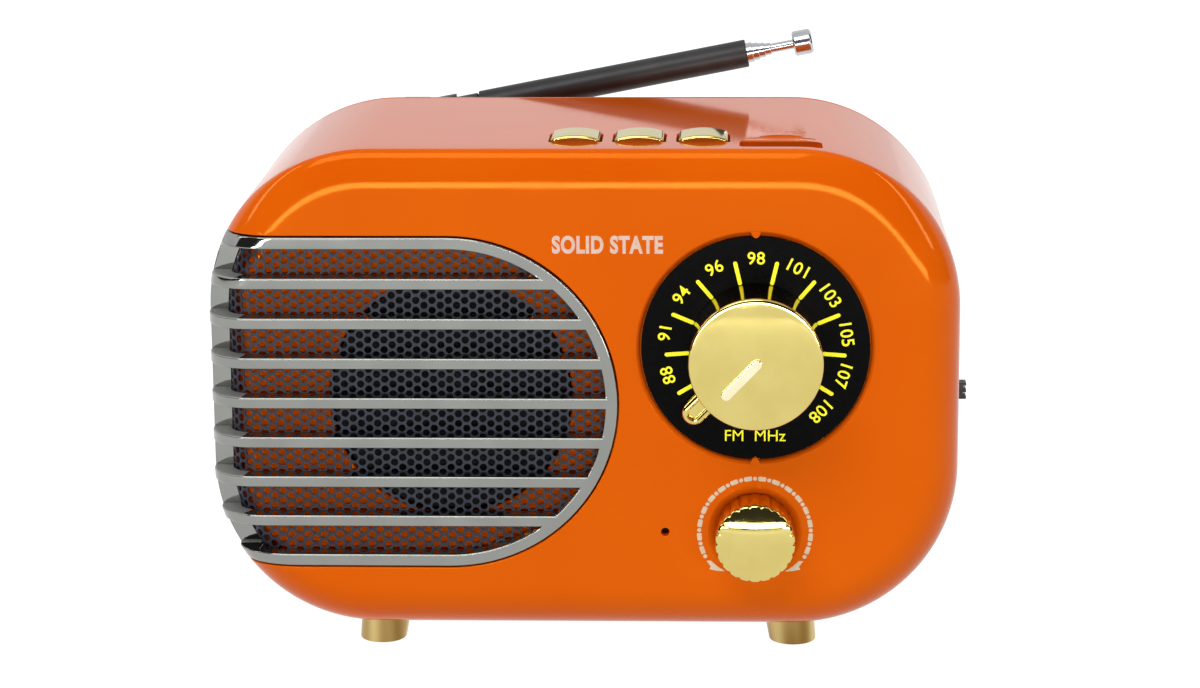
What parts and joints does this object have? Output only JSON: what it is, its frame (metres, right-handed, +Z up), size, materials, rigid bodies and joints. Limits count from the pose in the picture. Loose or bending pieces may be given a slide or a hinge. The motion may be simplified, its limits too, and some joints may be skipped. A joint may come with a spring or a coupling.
{
  "type": "portable radio",
  "caption": "Small retro portable radio with a rounded cabinet, wrap-round barred speaker grille, round tuning dial, volume knob, top keys and a telescopic antenna.",
  "frame": {"origin": "middle of the base of the whole object's box, on the surface that the feet stand on", "axes": "+X to the right seen from the front and along the longest side, +Y from the front face to the back, +Z up"},
  "size_m": [0.1622, 0.1, 0.1258],
  "materials": {
    "orange_gloss": "deep orange moulded plastic with a high gloss",
    "gunmetal_plate": "dark smoked chrome plating over plastic",
    "mesh_paint": "blue-grey painted perforated steel",
    "dial_black": "black dial with yellow numbers",
    "gold_plate": "pale gold plating, mirror bright",
    "satin_gold": "satin gold metal",
    "black_plastic": "plain black plastic",
    "sleeve_black": "smooth black plastic",
    "chrome": "bright chrome plating",
    "steel": "plain zinc-plated steel",
    "ferrite": "dark grey ferrite",
    "cone_paper": "black pressed paper",
    "copper": "enamelled copper wire",
    "circuit_board": "green circuit board",
    "cell_wrap": "blue shrink wrap"
  },
  "bodies": {
    "cabinet": {"front_cabinet": "orange_gloss", "rear_cover": "orange_gloss", "speaker_grille": "gunmetal_plate", "mesh_screen": "mesh_paint", "speaker_frame": "steel", "speaker_cone": "cone_paper", "speaker_dust_cap": "cone_paper", "speaker_voice_coil": "copper", "speaker_top_plate": "steel", "speaker_magnet": "ferrite", "speaker_yoke": "steel", "dial_plate": "dial_black", "tuning_capacitor": "black_plastic", "volume_potentiometer": "steel", "main_board": "circuit_board", "key_board": "circuit_board", "microphone": "steel", "card_socket": "steel", "usb_socket": "chrome", "usb_contact_block": "black_plastic", "charge_port": "steel", "audio_jack": "black_plastic", "cell_holder": "black_plastic", "battery_cell": "cell_wrap", "switch_body": "steel", "antenna_bracket": "black_plastic", "antenna_screw": "steel", "key_switch_1": "black_plastic", "key_switch_2": "black_plastic", "key_switch_3": "black_plastic", "speaker_screw_1": "steel", "speaker_screw_2": "steel", "speaker_screw_3": "steel", "speaker_screw_4": "steel", "cover_screw_lower_left": "steel", "cover_screw_lower_right": "steel", "cover_screw_upper_left": "steel", "cover_screw_upper_right": "steel", "foot_front_left": "satin_gold", "foot_front_right": "satin_gold", "foot_rear_left": "satin_gold", "foot_rear_right": "satin_gold"},
    "tuning_knob": {"tuning_knob": "gold_plate", "tuning_shaft": "steel"},
    "volume_knob": {"volume_knob": "gold_plate", "volume_shaft": "steel"},
    "key_1": {"key_1": "gold_plate"},
    "key_2": {"key_2": "gold_plate"},
    "key_3": {"key_3": "gold_plate"},
    "switch_knob": {"switch_knob": "black_plastic"},
    "antenna_arm": {"antenna_hinge": "sleeve_black", "antenna_sleeve": "sleeve_black"},
    "antenna_section_1": {"antenna_section_1": "chrome"},
    "antenna_section_2": {"antenna_section_2": "chrome"},
    "antenna_section_3": {"antenna_section_3": "chrome"},
    "antenna_section_4": {"antenna_section_4": "chrome"},
    "antenna_rod": {"antenna_rod": "chrome", "antenna_tip": "chrome"}
  },
  "joints": [
    {"name": "tuning_turn", "type": "hinge", "parent": "cabinet", "child": "tuning_knob", "pos_m": [0.0355, -0.03404, 0.06914], "axis": [0, 1, 0], "range_deg": [0, 270]},
    {"name": "volume_turn", "type": "hinge", "parent": "cabinet", "child": "volume_knob", "pos_m": [0.0355, -0.03404, 0.029], "axis": [0, 1, 0], "range_deg": [-150, 150]},
    {"name": "key_1_press", "type": "slide", "parent": "cabinet", "child": "key_1", "axis": [0, 0, -1], "range_m": [0, 0.0008], "stiffness_N_per_m": 400, "springref_m": -0.0004},
    {"name": "key_2_press", "type": "slide", "parent": "cabinet", "child": "key_2", "axis": [0, 0, -1], "range_m": [0, 0.0008], "stiffness_N_per_m": 400, "springref_m": -0.0004},
    {"name": "key_3_press", "type": "slide", "parent": "cabinet", "child": "key_3", "axis": [0, 0, -1], "range_m": [0, 0.0008], "stiffness_N_per_m": 400, "springref_m": -0.0004},
    {"name": "switch_slide", "type": "slide", "parent": "cabinet", "child": "switch_knob", "axis": [0, 0, 1], "range_m": [0, 0.0025]},
    {"name": "antenna_swing", "type": "hinge", "parent": "cabinet", "child": "antenna_arm", "pos_m": [-0.0421, 0.04686, 0.10536], "axis": [0, -1, 0], "range_deg": [-11, 169]},
    {"name": "section_1_slide", "type": "slide", "parent": "antenna_arm", "child": "antenna_section_1", "axis": [0.9816, 0, 0.1908], "range_m": [0, 0.052]},
    {"name": "section_2_slide", "type": "slide", "parent": "antenna_section_1", "child": "antenna_section_2", "axis": [0.9816, 0, 0.1908], "range_m": [0, 0.052]},
    {"name": "section_3_slide", "type": "slide", "parent": "antenna_section_2", "child": "antenna_section_3", "axis": [0.9816, 0, 0.1908], "range_m": [0, 0.052]},
    {"name": "section_4_slide", "type": "slide", "parent": "antenna_section_3", "child": "antenna_section_4", "axis": [0.9816, 0, 0.1908], "range_m": [0, 0.052]},
    {"name": "rod_slide", "type": "slide", "parent": "antenna_section_4", "child": "antenna_rod", "axis": [0.9816, 0, 0.1908], "range_m": [0, 0.052]}
  ]
}
